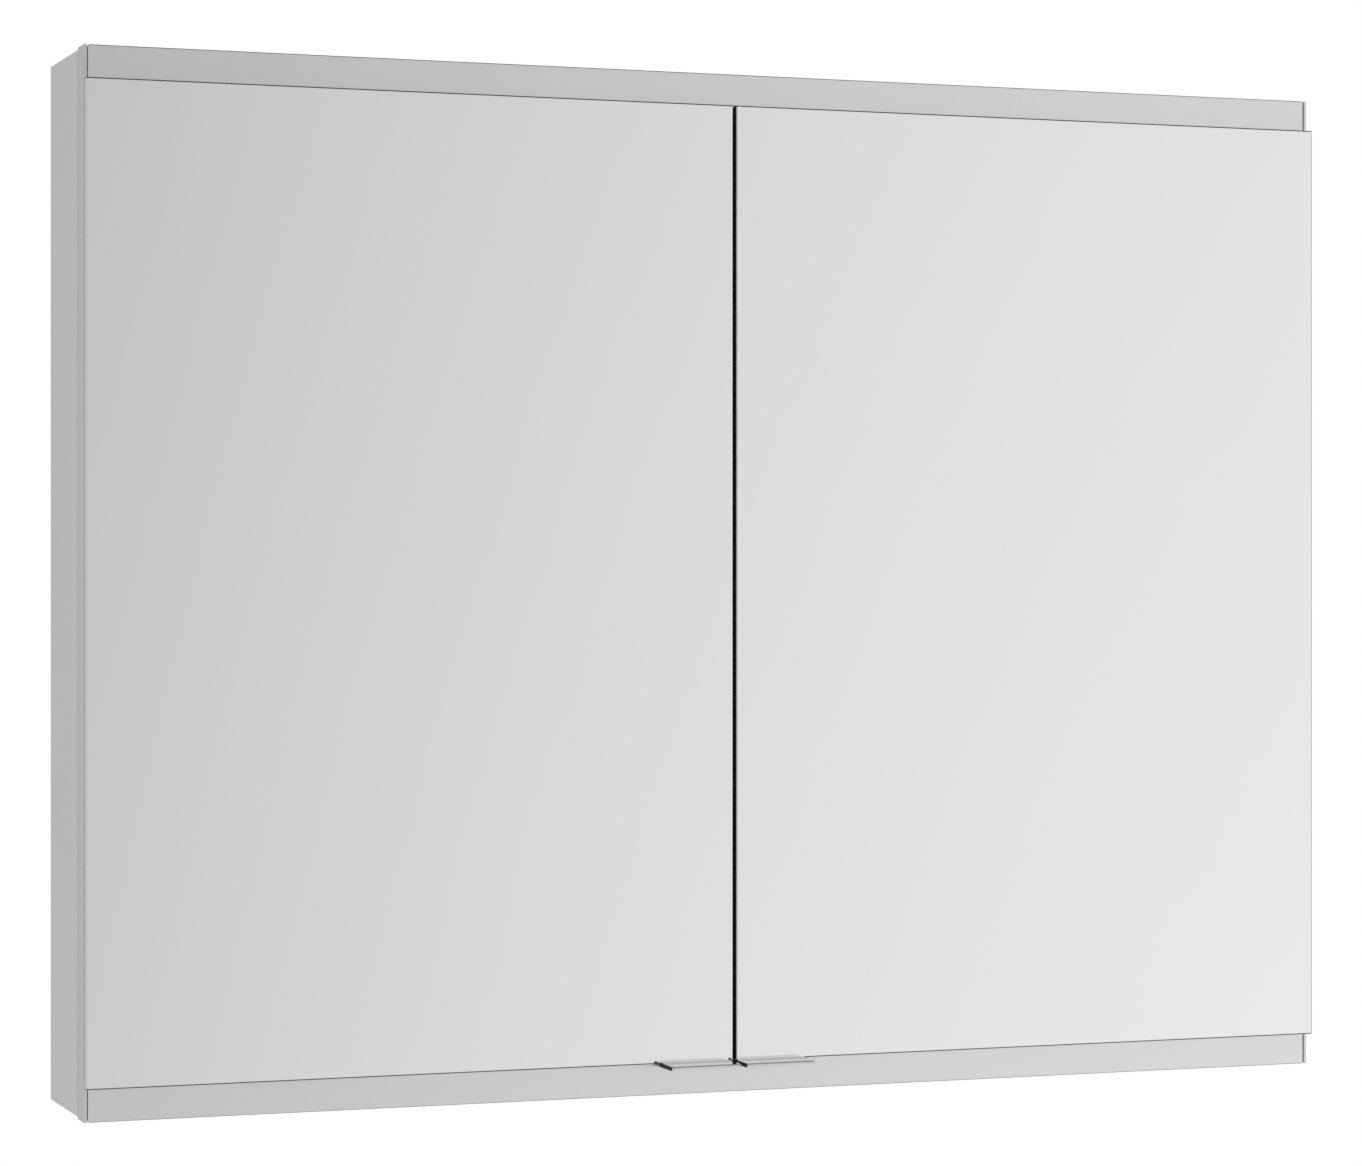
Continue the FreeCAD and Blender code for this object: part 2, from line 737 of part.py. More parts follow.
def cable_grommet():
    """Ring in the back wall where the supply cable comes in."""
    start = Vector(inlet_x, back_face - inlet_flange_wall, inlet_z)
    length = 2 * inlet_flange_wall + sheet
    inner = rod(inlet_flange, start, Y_AXIS, inlet_flange_wall)
    neck = rod(inlet_neck, start, Y_AXIS, length)
    outer = rod(inlet_flange, Vector(inlet_x, -back_recess, inlet_z), Y_AXIS, inlet_flange_wall)
    bore = rod(inlet_bore, start - Y_AXIS, Y_AXIS, length + 2)
    return cut(fuse(inner, neck, outer), bore)


def upper_light_lead():
    """From the driver's end forward to the upper board."""
    points = [Vector(driver_end, driver_y, inlet_z), Vector(lead_exit_x, driver_y, inlet_z),
              Vector(lead_exit_x, lead_end_y, inlet_z)]
    return tube(points, lead_radius, upper_bend)


def lower_light_lead():
    """From the driver down inside the partition to the lower board."""
    points = [Vector(driver_end, lead_drop_y, inlet_z), Vector(0, lead_drop_y, inlet_z),
              Vector(0, lead_drop_y, -inlet_z), Vector(0, lead_end_y, -inlet_z)]
    return tube(points, lead_radius, lower_bend)


def supply_lead():
    """From the terminal block to the driver."""
    start = Vector(driver_end, driver_y + supply_offset, inlet_z)
    return rod(lead_radius, start, X_AXIS, inlet_x - terminal_length / 2 - driver_end)


def switch_lead():
    """From the switch along the bottom, up inside the partition and over to the driver."""
    y = switch_lead_y
    points = [Vector(switch_x - switch_body / 2, y, -inlet_z), Vector(switch_lead_x, y, -inlet_z),
              Vector(switch_lead_x, y, inlet_z), Vector(driver_end, y, inlet_z)]
    return tube(points, switch_lead_radius, lower_bend)


def switch_housing():
    """Switch body on the bottom wall, with a bezel ring round the button."""
    top = -body_top + sheet
    half = switch_body / 2
    well = button_radius + button_gap
    body = box((switch_x - half, switch_x + half), (switch_y - half, switch_y + half),
               (top, top + switch_depth))
    neck = rod(well + switch_neck, Vector(switch_x, switch_y, -body_top), Z_AXIS, sheet)
    bezel_low = -body_top - bezel_wall
    bezel = rod(bezel_radius, Vector(switch_x, switch_y, bezel_low), Z_AXIS, bezel_wall)
    well_low = Vector(switch_x, switch_y, bezel_low - 1)
    well_cut = rod(well, well_low, Z_AXIS, top + switch_depth - well_floor - well_low.z)
    return cut(fuse(body, neck, bezel), well_cut)


def switch_button():
    low = -body_top - bezel_wall - button_proud
    button = rod(button_radius, Vector(switch_x, switch_y, low), Z_AXIS, button_length)
    edges = [edge for edge in button.Edges
             if edge.Curve.TypeId == "Part::GeomCircle" and abs(edge.CenterOfMass.z - low) < 0.01]
    return button.makeFillet(button_edge, edges)


# ---- wall fixing ----
def wall_slot(x, z):
    reach = slot_length / 2 - slot_radius
    middle = box((x - reach, x + reach), (-rail_plate - 1, 1), (z - slot_radius, z + slot_radius))
    ends = [rod(slot_radius, Vector(x + step * reach, -rail_plate - 1, z), Y_AXIS, rail_plate + 2)
            for step in (-1, 1)]
    return fuse(middle, *ends)


def wall_rail():
    """Rail on the wall: a plate with slots and an upturned lip that the body hangs on."""
    plate = box(rail_ends, (-rail_plate, 0), (rail_top - rail_plate_height, rail_top))
    web = box(rail_ends, (-rail_hook_depth, 0), (rail_top - rail_plate, rail_top))
    lip = box(rail_ends, (-rail_hook_depth, -rail_hook_depth + rail_plate), (rail_top - rail_plate, lip_top))
    return cut(fuse(plate, web, lip), wall_slot(-fixing_x, fixing_z), wall_slot(fixing_x, fixing_z))


def spacer_rail():
    """Lower rail that keeps the body parallel to the wall."""
    base = -fixing_z - rail_plate_height / 2
    depth = back_recess - seat
    plate = box(rail_ends, (-rail_plate, 0), (base, base + rail_plate_height))
    web = box(rail_ends, (-depth, 0), (base, base + rail_plate))
    lip = box(rail_ends, (-depth, -depth + rail_plate), (base, base + spacer_lip))
    return cut(fuse(plate, web, lip), wall_slot(-fixing_x, -fixing_z), wall_slot(fixing_x, -fixing_z))


def hook_screw_points():
    z = rail_top - hook_screw_drop
    return [Vector(side * (hook_x + step * hook_screw_pitch / 2), hook_wall - back_recess, z)
            for side in (-1, 1) for step in (-1, 1)]


def hanging_hook():
    """Hook behind the back wall that drops over the rail's lip."""
    across = (hook_x - hook_width / 2, hook_x + hook_width / 2)
    lip_y = -rail_hook_depth + rail_plate + seat
    plate = box(across, (-back_recess, -back_recess + hook_wall), (rail_top - hook_drop, hook_top))
    roof = box(across, (-back_recess, lip_y + hook_wall), (hook_top - hook_wall, hook_top))
    lip = box(across, (lip_y, lip_y + hook_wall), (hook_top - hook_lip, hook_top))
    thread = rod(height_screw[0] + screw_gap, Vector(hook_x, lip_middle, lip_top), Z_AXIS,
                 hook_top + 1 - lip_top)
    holes = [screw_hole(point, -Y_AXIS, hook_screw, hook_wall + 1)
             for point in hook_screw_points() if point.x > 0]
    return cut(fuse(plate, roof, lip), thread, *holes)


def hook_screws():
    length = hook_wall + sheet - tray_gap
    return [screw(point, -Y_AXIS, hook_screw, length) for point in hook_screw_points()]


def adjusting_screw():
    """Height screw through the hook, standing on the rail's lip."""
    top = hook_top + height_screw_out
    return screw(Vector(hook_x, lip_middle, top), -Z_AXIS, height_screw, top - lip_top)


# ---- all pieces ----
def build():
    parts = {}
    for side, hand in ((-1, "left"), (1, "right")):
        parts["side_wall_" + hand] = placed(side_wall_panel(), side)
        parts["frame_profile_" + hand] = placed(frame_profile(), side)
        parts["interior_mirror_" + hand] = placed(interior_mirror(), side)
        parts["door_front_mirror_" + hand] = placed(door_front_mirror(), side)
        parts["door_back_mirror_" + hand] = placed(door_back_mirror(), side)
        parts["finger_pull_" + hand] = placed(finger_pull(), side)
        parts["strike_plate_" + hand] = placed(strike_plate(), side)
        parts["hanging_hook_" + hand] = placed(hanging_hook(), side)
        for level, place in ((1, "upper"), (-1, "lower")):
            parts["hinge_base_%s_%s" % (hand, place)] = placed(hinge_base(), side, level)
            parts["hinge_arm_%s_%s" % (hand, place)] = placed(hinge_arm(), side, level)
            parts["glass_shelf_%s_%s" % (hand, place)] = placed(glass_shelf(level), side)
    parts["hinge_pins"] = [placed(hinge_pin(), side, level) for side in (-1, 1) for level in (-1, 1)]
    parts["hinge_base_screws"] = base_screws()
    parts["body_screws"] = body_screws()
    parts["shelf_rails"] = shelf_rails(-1) + shelf_rails(1)
    parts["catch_magnets"] = [placed(catch_magnet(), side) for side in (-1, 1)]
    parts["top_wall"] = end_wall(lead_exit_x)
    parts["bottom_wall"] = bottom_wall()
    parts["back_wall"] = back_wall()
    parts["ceiling_panel"] = inner_panel(panel_screw_points() + driver_screw_points())
    parts["floor_panel"] = placed(inner_panel(panel_screw_points()), level=-1)
    parts["panel_screws"] = panel_screws()
    parts["light_housing_upper"] = light_housing(lead_exit_x)
    parts["light_housing_lower"] = placed(light_housing(0), level=-1)
    parts["light_cover_upper"] = light_cover()
    parts["light_cover_lower"] = placed(light_cover(), level=-1)
    parts["led_board_upper"] = led_board(lead_exit_x)
    parts["led_board_lower"] = placed(led_board(0), level=-1)
    parts["leds"] = leds(lead_exit_x) + [placed(led, level=-1) for led in leds(0)]
    parts["centre_partition"] = partition()
    parts["shelf_supports"] = shelf_supports()
    parts["door_bumpers"] = door_bumpers()
    parts["led_driver"] = led_driver()
    parts["terminal_block"] = terminal_block()
    parts["cable_grommet"] = cable_grommet()
    parts["light_leads"] = [upper_light_lead(), lower_light_lead()]
    parts["supply_leads"] = [supply_lead(), switch_lead()]
    parts["switch_housing"] = switch_housing()
    parts["switch_button"] = switch_button()
    parts["wall_rail_upper"] = wall_rail()
    parts["wall_rail_lower"] = spacer_rail()
    parts["hook_screws"] = hook_screws()
    parts["adjusting_screws"] = [placed(adjusting_screw(), side) for side in (-1, 1)]
    return parts


os.makedirs("parts", exist_ok=True)
for node, shape in build().items():
    if isinstance(shape, list):
        shape = Part.makeCompound(shape)
    shape.exportStep("parts/%s.step" % node)
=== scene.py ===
import bpy
import json
import math
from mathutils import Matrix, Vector


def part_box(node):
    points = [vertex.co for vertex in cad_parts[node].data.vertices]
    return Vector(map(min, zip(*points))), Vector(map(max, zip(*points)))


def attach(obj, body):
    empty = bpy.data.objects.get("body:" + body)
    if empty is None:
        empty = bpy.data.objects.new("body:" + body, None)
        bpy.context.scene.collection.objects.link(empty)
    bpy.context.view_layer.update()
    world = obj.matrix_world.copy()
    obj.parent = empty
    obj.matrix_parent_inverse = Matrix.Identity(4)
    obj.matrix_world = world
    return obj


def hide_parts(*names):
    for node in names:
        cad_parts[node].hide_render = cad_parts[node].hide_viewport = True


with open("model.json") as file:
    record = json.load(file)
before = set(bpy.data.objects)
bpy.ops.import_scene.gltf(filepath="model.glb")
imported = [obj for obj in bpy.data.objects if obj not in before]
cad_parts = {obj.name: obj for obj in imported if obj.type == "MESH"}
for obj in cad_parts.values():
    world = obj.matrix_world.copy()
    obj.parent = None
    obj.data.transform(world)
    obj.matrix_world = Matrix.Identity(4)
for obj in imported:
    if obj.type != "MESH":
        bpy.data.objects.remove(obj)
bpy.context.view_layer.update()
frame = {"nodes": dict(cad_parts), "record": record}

NODES = frame["nodes"]
BODIES = frame["record"]["behaviour"]["bodies"]
BODY_OF = {node: body for body, nodes in BODIES.items() for node in nodes}
SLOT_OF = {entry["node"]: entry["material_slot"] for entry in frame["record"]["subparts"]}
HANDS = ("left", "right")
PLACES = ("upper", "lower")

# ---- camera, in metres and degrees, with its lens and sensor in millimetres ----
CAMERA_PLACE = (-0.9629, -2.6284, 0.0068)
CAMERA_YAW = 20.214
CAMERA_LENS = 103.18
CAMERA_SHIFT_Y = -0.0073
SENSOR_WIDTH = 36.0
CAMERA_REACH = 60.0

# ---- floor, in metres ----
FLOOR_DROP = 1.5            # from the cabinet's middle to the floor
FLOOR_RADIUS = 3.0
FLOOR_FADE = 1.4            # from here outwards the floor melts into the white
FLOOR_SIDES = 96

# ---- roundings and joints, in metres ----
PULL_NOSE = 0.001           # along the front of a finger pull
PULL_CORNER = 0.0012        # its front corners, seen from above
PULL_EDGE = 0.0003          # its other edges
PULL_STEPS = 4              # faces across each of its front roundings
GLASS_ARRIS = 0.0008        # ground corner along the edges of the mirrors
SHELF_ARRIS = 0.0005
COVER_RIM = 0.0005          # along the edges of the light covers
WALL_SEAM = 0.0004          # open joint between a side wall and its frame profile
LENS_INSET = 0.0005         # from the side of a light's package to its lens
LENS_DEPTH = 0.0002
MOULDED_EDGE = 0.0006
CAST_EDGE = 0.0004
SHEET_EDGE = 0.0003
FINE_EDGE = 0.0002
STRIP_EDGE = 0.00015
HOOK_EDGE = 0.00012         # small, for the narrow stretches beside its holes
BOARD_EDGE = 0.0001
EDGE_STEPS = 2              # faces across each of these roundings
TINY = 0.00001              # points nearer than this are one
SOFT_PIECES = (
    ("top_wall", "roof", SHEET_EDGE),
    ("bottom_wall", "underside", SHEET_EDGE),
    ("back_wall", "back", SHEET_EDGE),
    ("ceiling_panel", "ceiling", SHEET_EDGE),
    ("floor_panel", "bottom_board", SHEET_EDGE),
    ("centre_partition", "partition", SHEET_EDGE),
    ("shelf_rails", "shelf_strips", STRIP_EDGE),
    ("shelf_supports", "shelf_pegs", FINE_EDGE),
    ("door_bumpers", "bumpers", MOULDED_EDGE),
    ("catch_magnets", "magnets", SHEET_EDGE),
    ("cable_grommet", "grommet", SHEET_EDGE),
    ("led_driver", "driver", MOULDED_EDGE),
    ("terminal_block", "terminals", SHEET_EDGE),
    ("switch_housing", "switch_body", SHEET_EDGE),
    ("switch_button", "push_button", SHEET_EDGE),
    ("hinge_pins", "pivot_pins", FINE_EDGE),
    ("adjusting_screws", "height_screws", FINE_EDGE),
)

# ---- turns between faces, in degrees ----
FLUSH = 0.5                 # faces that turn less than this are one
SHARP = 35                  # edges that turn more than this are rounded
CREASE = 50                 # edges that turn more than this stay crisp

# ---- share of a face's normal along an axis ----
FLAT = 0.95                 # at least this on a flat face, less on its rounding
FACING = 0.9                # more than this on a face that looks along the axis
MOSTLY = 0.5                # more than this when it looks that way rather than another
SLANT = 0.3                 # at least this on a slanting face

# ---- brightness of the studio round the cabinet, by direction ----
ROOM_BASE = 0.32            # at the start of the gain towards the right
ROOM_RISE = 1.60            # gain towards the right
ROOM_BEND = -1.11           # and how it levels off
ROOM_RIGHT = 0.72           # where the gain ends
ROOM_FRONT = 0.465          # straight in front it is no darker than this
ROOM_TILT = 0.35            # and that limit rises this gently towards the right
ROOM_DROP = -0.27           # brighter below, darker above
ROOM_LEFT = 0.52            # more light from the far left
LEFT_SPAN = (-0.8, -0.1)    # where that light fades out
ROOM_FAR = -0.22            # less light from the far right
FAR_SPAN = (0.62, 1.0)      # where it grows less
OVERHEAD = 0.55             # share that is left straight above
OVERHEAD_SPAN = (0.22, 0.75)
BEHIND = 0.57               # behind the cabinet
BEHIND_SPAN = (-0.3, 0.3)   # from the front of the studio to its back
BEHIND_OVERHEAD_SPAN = (0.0, 0.75)

# ---- lamps, in metres and degrees ----
KEY_PLACE = (1.9, -1.9, 0.3)
KEY_AIM = (0.2, 0, 0)
KEY_SIZE = 1.2
KEY_POWER = 16.0
CEILING_POWER = 1.8
CEILING_SPREAD = 80

# ---- finishes ----
CLOUDING = 0.012            # how far anodising strays from its tone
GRINDING = 0.06             # how far a ground edge strays from its roughness
TEXTURE = 0.07              # how far a moulded skin strays from its roughness
DULLNESS = 0.08             # what is left of the shine on the black finishes: the painted shade on the doors' meeting edges and the pulls' black ends


# ---- object helpers ----
def only(piece):
    """Select this piece and nothing else."""
    bpy.ops.object.select_all(action="DESELECT")
    piece.select_set(True)
    bpy.context.view_layer.objects.active = piece


def block(name, low, high):
    """A box between two corners, with its place in its mesh."""
    bpy.ops.object.select_all(action="DESELECT")
    low, high = Vector(low), Vector(high)
    bpy.ops.mesh.primitive_cube_add(size=1.0, location=(low + high) / 2)
    piece = bpy.context.active_object
    piece.name = name
    piece.data.name = name
    piece.scale = high - low
    bpy.ops.object.transform_apply(location=True, rotation=True, scale=True)
    return piece


def copy_of(node, name):
    """A merged copy of a CAD node's mesh."""
    piece = bpy.data.objects.new(name, NODES[node].data.copy())
    piece.data.name = name
    bpy.context.scene.collection.objects.link(piece)
    only(piece)
    if piece.data.has_custom_normals:
        bpy.ops.mesh.customdata_custom_splitnormals_clear()
    bpy.ops.object.mode_set(mode="EDIT")
    bpy.ops.mesh.select_all(action="SELECT")
    bpy.ops.mesh.remove_doubles(threshold=TINY)
    bpy.ops.mesh.dissolve_limited(angle_limit=math.radians(FLUSH))
    bpy.ops.object.mode_set(mode="OBJECT")
    return piece


def break_edges(piece, radius):
    """Round every sharp edge."""
    only(piece)
    bpy.ops.object.shade_smooth()
    bevel = piece.modifiers.new("edge", "BEVEL")
    bevel.width = radius
    bevel.segments = EDGE_STEPS
    bevel.limit_method = "ANGLE"
    bevel.angle_limit = math.radians(SHARP)
    bevel.use_clamp_overlap = True
    bpy.ops.object.modifier_apply(modifier="edge")


def keep_flats(piece):
    """Shade the roundings smooth while the flats stay flat."""
    only(piece)
    bpy.ops.object.shade_smooth_by_angle(angle=math.radians(CREASE))
    flats = piece.modifiers.new("flats", "WEIGHTED_NORMAL")
    flats.mode = "FACE_AREA"
    flats.weight = 100
    flats.keep_sharp = True
    bpy.ops.object.modifier_apply(modifier="flats")


def rounded(piece, radius):
    """The piece with its sharp edges rounded and shaded."""
    break_edges(piece, radius)
    keep_flats(piece)
    return piece


def stands_for(piece, node):
    """The piece rides on the node's body and hides it."""
    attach(piece, BODY_OF[node])
    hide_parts(node)


def wears(piece, material):
    """The whole piece takes one material."""
    piece.data.materials.clear()
    piece.data.materials.append(material)


# ---- shader helpers, whose owner is a material or the world ----
def add(owner, kind, **inputs):
    """A shader node of one kind, with its inputs set by name."""
    node = owner.node_tree.nodes.new(kind)
    for key, value in inputs.items():
        node.inputs[key.replace("_", " ")].default_value = value
    return node


def join(owner, source, target):
    owner.node_tree.links.new(source, target)


def feed(owner, node, *sources):
    """Join the sources to a shader node's first inputs, in order."""
    for source, socket in zip(sources, node.inputs):
        join(owner, source, socket)


def smooth_step(owner, value, span, low=0.0, high=1.0):
    """Goes smoothly from low to high while the value crosses the span."""
    start, end = span
    step = add(owner, "ShaderNodeMapRange", From_Min=start, From_Max=end, To_Min=low, To_Max=high)
    step.interpolation_type = "SMOOTHSTEP"
    join(owner, value, step.inputs["Value"])
    return step.outputs["Result"]


def grey(tone):
    return (tone, tone, tone)


def plain_shader(name, color, metallic=0.0, roughness=0.5, ior=1.5):
    """A new material and its shader, with the same values all over."""
    material = bpy.data.materials.new(name)
    material.use_nodes = True
    shader = material.node_tree.nodes["Principled BSDF"]
    shader.inputs["Base Color"].default_value = (*color, 1.0)
    shader.inputs["Metallic"].default_value = metallic
    shader.inputs["Roughness"].default_value = roughness
    shader.inputs["IOR"].default_value = ior
    return material, shader


def object_point(material, stretch=(1, 1, 1)):
    """Object coordinates, stretched along each axis."""
    place = add(material, "ShaderNodeTexCoord")
    mapping = add(material, "ShaderNodeMapping", Scale=stretch)
    join(material, place.outputs["Object"], mapping.inputs["Vector"])
    return mapping.outputs["Vector"]


def grain(material, scale, detail=3.0, stretch=(1, 1, 1)):
    """An uneven pattern through the piece, finer with a larger scale."""
    noise = add(material, "ShaderNodeTexNoise", Scale=scale, Detail=detail, Roughness=0.6)
    join(material, object_point(material, stretch), noise.inputs["Vector"])
    return noise.outputs["Fac"]


def tinted(material, shader, pattern, low, high):
    """The shader's colour goes between two colours with the pattern."""
    mix = add(material, "ShaderNodeMix")
    mix.data_type = "RGBA"
    mix.inputs["A"].default_value = (*low, 1.0)
    mix.inputs["B"].default_value = (*high, 1.0)
    join(material, pattern, mix.inputs["Factor"])
    join(material, mix.outputs["Result"], shader.inputs["Base Color"])


def roughened(material, shader, pattern, low, high):
    """The shader's roughness goes between two values with the pattern."""
    spread = add(material, "ShaderNodeMapRange", To_Min=low, To_Max=high)
    join(material, pattern, spread.inputs["Value"])
    join(material, spread.outputs["Result"], shader.inputs["Roughness"])


def relief(material, shader, height, strength, distance):
    """Raises the surface with the pattern, in the shading only."""
    bump = add(material, "ShaderNodeBump", Strength=strength, Distance=distance)
    join(material, height, bump.inputs["Height"])
    join(material, bump.outputs["Normal"], shader.inputs["Normal"])


# ---- finishes of the pieces ----
def anodised_aluminium(name, tone):
    """Bead-blasted and anodised: an even satin with a very fine tooth."""
    material, shader = plain_shader(name, grey(tone), metallic=0.92, roughness=0.33)
    tooth = grain(material, scale=2600.0, detail=2.0)
    cloud = grain(material, scale=9.0, detail=2.0)
    roughened(material, shader, tooth, low=0.30, high=0.37)
    tinted(material, shader, cloud, low=grey(tone - CLOUDING), high=grey(tone + CLOUDING))
    relief(material, shader, tooth, strength=0.04, distance=0.00003)
    return material


def satin_sheet():
    """Aluminium sheet with faint rolling lines along its length."""
    material, shader = plain_shader("satin_sheet", grey(0.80), metallic=0.88, roughness=0.40)
    lines = grain(material, scale=900.0, stretch=(0.02, 1.0, 1.0))
    roughened(material, shader, lines, low=0.34, high=0.46)
    tinted(material, shader, lines, low=grey(0.77), high=grey(0.83))
    relief(material, shader, lines, strength=0.06, distance=0.00005)
    return material


def silvered_mirror():
    """Clear silvered glass, with the faintest haze of a wiped surface."""
    material, shader = plain_shader("silvered_mirror", grey(0.95), metallic=1.0, roughness=0.0)
    haze = grain(material, scale=14.0, detail=4.0)
    roughened(material, shader, haze, low=0.0, high=0.008)
    tinted(material, shader, haze, low=grey(0.945), high=grey(0.955))
    return material


def glass_edge(name, low, high, metallic, roughness):
    """Edge of silvered glass: fine marks of the grinding wheel along it."""
    material, shader = plain_shader(name, high, metallic, roughness)
    marks = grain(material, scale=700.0, stretch=(1.0, 1.0, 0.15))
    roughened(material, shader, marks, roughness - GRINDING, roughness + GRINDING)
    tinted(material, shader, marks, low, high)
    relief(material, shader, marks, strength=0.08, distance=0.00003)
    return material


def satin_cover():
    """Light cover: silvered behind, with an even satin skin."""
    material, shader = plain_shader("satin_cover", grey(0.80), metallic=0.94, roughness=0.22)
    skin = grain(material, scale=1800.0, detail=2.0)
    cloud = grain(material, scale=6.0, detail=2.0)
    roughened(material, shader, skin, low=0.19, high=0.25)
    tinted(material, shader, cloud, low=grey(0.805), high=grey(0.825))
    relief(material, shader, skin, strength=0.02, distance=0.00002)
    return material


def polished_chrome():
    """Chrome plate with the streaks of wiping along it."""
    material, shader = plain_shader("polished_chrome", (0.70, 0.70, 0.705), metallic=1.0, roughness=0.05)
    wipe = grain(material, scale=60.0, detail=4.0, stretch=(0.3, 1.0, 1.0))
    roughened(material, shader, wipe, low=0.03, high=0.11)
    tinted(material, shader, wipe, low=(0.68, 0.68, 0.685), high=(0.72, 0.72, 0.725))
    return material


def clear_glass():
    """The face of float glass: nearly colourless."""
    material, shader = plain_shader("clear_glass", (0.95, 0.985, 0.97), roughness=0.01, ior=1.52)
    shader.inputs["Transmission Weight"].default_value = 1.0
    smear = grain(material, scale=22.0, detail=4.0)
    roughened(material, shader, smear, low=0.0, high=0.03)
    tinted(material, shader, smear, low=(0.94, 0.98, 0.965), high=(0.96, 0.99, 0.978))
    return material


def green_edge():
    """The green that is seen along the edge of float glass."""
    material, shader = plain_shader("green_edge", (0.42, 0.70, 0.60), roughness=0.15, ior=1.52)
    shader.inputs["Transmission Weight"].default_value = 0.6
    marks = grain(material, scale=500.0, stretch=(0.15, 1.0, 1.0))
    roughened(material, shader, marks, low=0.10, high=0.22)
    tinted(material, shader, marks, low=(0.38, 0.66, 0.56), high=(0.46, 0.74, 0.64))
    return material


def plated_steel(name, low, high, scale):
    """Zinc or nickel plating with its small crystal facets."""
    material, shader = plain_shader(name, high, metallic=0.95, roughness=0.3)
    facets = add(material, "ShaderNodeTexVoronoi", Scale=scale)
    join(material, object_point(material), facets.inputs["Vector"])
    tone = add(material, "ShaderNodeSeparateColor")
    join(material, facets.outputs["Color"], tone.inputs["Color"])
    tinted(material, shader, tone.outputs["Red"], low, high)
    roughened(material, shader, tone.outputs["Green"], low=0.22, high=0.42)
    relief(material, shader, tone.outputs["Blue"], strength=0.05, distance=0.00005)
    return material


def moulded(name, low, high, roughness, scale=1400.0, strength=0.15):
    """Moulded plastic or rubber with a fine eroded grain."""
    material, shader = plain_shader(name, high, roughness=roughness)
    texture = grain(material, scale)
    tinted(material, shader, texture, low, high)
    roughened(material, shader, texture, roughness - TEXTURE, roughness + TEXTURE)
    relief(material, shader, texture, strength, distance=0.0001)
    return material


def dulled(material):
    """Takes most of the shine away, from a black finish."""
    shader = material.node_tree.nodes["Principled BSDF"]
    shader.inputs["Specular IOR Level"].default_value = DULLNESS
    return material


def make_finishes():
    """One finish for each of the record's material slots."""
    return {
        "anodised_aluminium": anodised_aluminium("anodised_aluminium", tone=0.795),
        "body_sheet": satin_sheet(),
        "mirror_glass": silvered_mirror(),
        "satin_cover": satin_cover(),
        "polished_chrome": polished_chrome(),
        "clear_glass": clear_glass(),
        "plated_steel": plated_steel("zinc_plate", (0.56, 0.565, 0.57), (0.70, 0.705, 0.71),
                                     scale=260.0),
        "hinge_metal": plated_steel("nickel_plate", (0.66, 0.655, 0.64), (0.74, 0.735, 0.72),
                                    scale=1200.0),
        "screw_steel": plated_steel("screw_plate", (0.62, 0.62, 0.62), (0.76, 0.76, 0.75),
                                    scale=1500.0),
        "magnet_metal": plated_steel("magnet_metal", (0.30, 0.30, 0.31), (0.42, 0.42, 0.43),
                                     scale=900.0),
        "board_white": moulded("solder_mask", (0.82, 0.83, 0.82), (0.90, 0.91, 0.90),
                               roughness=0.35, scale=600.0, strength=0.05),
        "led_lens": moulded("phosphor", (0.90, 0.74, 0.25), (0.95, 0.83, 0.40),
                            roughness=0.22, scale=900.0, strength=0.05),
        "driver_case": moulded("driver_case", (0.80, 0.80, 0.79), (0.88, 0.88, 0.87),
                               roughness=0.5),
        "lead_sleeve": moulded("lead_sleeve", (0.76, 0.76, 0.75), (0.84, 0.84, 0.83),
                               roughness=0.45, scale=800.0, strength=0.05),
        "soft_rubber": moulded("soft_rubber", (0.02, 0.02, 0.021), (0.04, 0.04, 0.042),
                               roughness=0.7),
        "switch_plastic": moulded("switch_plastic", (0.70, 0.70, 0.71), (0.78, 0.78, 0.79),
                                  roughness=0.3, scale=1600.0, strength=0.08),
    }


FINISH = make_finishes()
PROFILE_FINISH = anodised_aluminium("anodised_profile", tone=0.725)
# darker tone for the side walls' faces in the open joint to the frame profile: painted shade
JOINT_SHADE_FINISH = anodised_aluminium("joint_painted_shade", tone=0.42)
# dark tone for the light covers' rounded front edges: painted shade
RIM_SHADE_FINISH = anodised_aluminium("cover_rim_painted_shade", tone=0.25)
POLISHED_EDGE = glass_edge("polished_edge", (0.73, 0.745, 0.74), (0.79, 0.805, 0.80),
                           metallic=0.9, roughness=0.18)
# darker copy of the polished edge for the right door's side arrises: painted shade
SHADED_SIDE_ARRIS = glass_edge("side_arris_painted_shade", (0.33, 0.34, 0.335), (0.39, 0.40, 0.395),
                       metallic=0.9, roughness=0.18)
# near-black copy of the edge finish for the doors' top and bottom arrises: painted shade of the gaps
# above and below the doors
SHADOW_GAP_ARRIS = glass_edge("arris_painted_shade", (0.05, 0.052, 0.051), (0.09, 0.092, 0.091),
                         metallic=0.6, roughness=0.35)
# black finish for the doors' meeting edges: painted shade of the dark gap between the doors
GAP_SHADE_EDGE = dulled(moulded("gap_painted_shade", grey(0.006), grey(0.012),
                              roughness=0.5, scale=900.0, strength=0.05))
END_FINISH = dulled(moulded("end_cap", grey(0.008), grey(0.016),
                            roughness=0.35, scale=1200.0, strength=0.05))
SHELF_EDGE = green_edge()


def dress_cad_nodes():
    """Every CAD node takes the finish of its slot."""
    for node, piece in NODES.items():
        wears(piece, FINISH[SLOT_OF[node]])


# ---- choosing and cutting a piece's edges and faces ----
def select_edges(piece, wanted):
    """In edit mode, select just the edges whose two ends pass the test."""
    bpy.ops.mesh.select_all(action="DESELECT")
    bpy.ops.object.mode_set(mode="OBJECT")
    points = piece.data.vertices
    for edge in piece.data.edges:
        edge.select = wanted(*(points[index].co for index in edge.vertices))
    bpy.ops.object.mode_set(mode="EDIT")


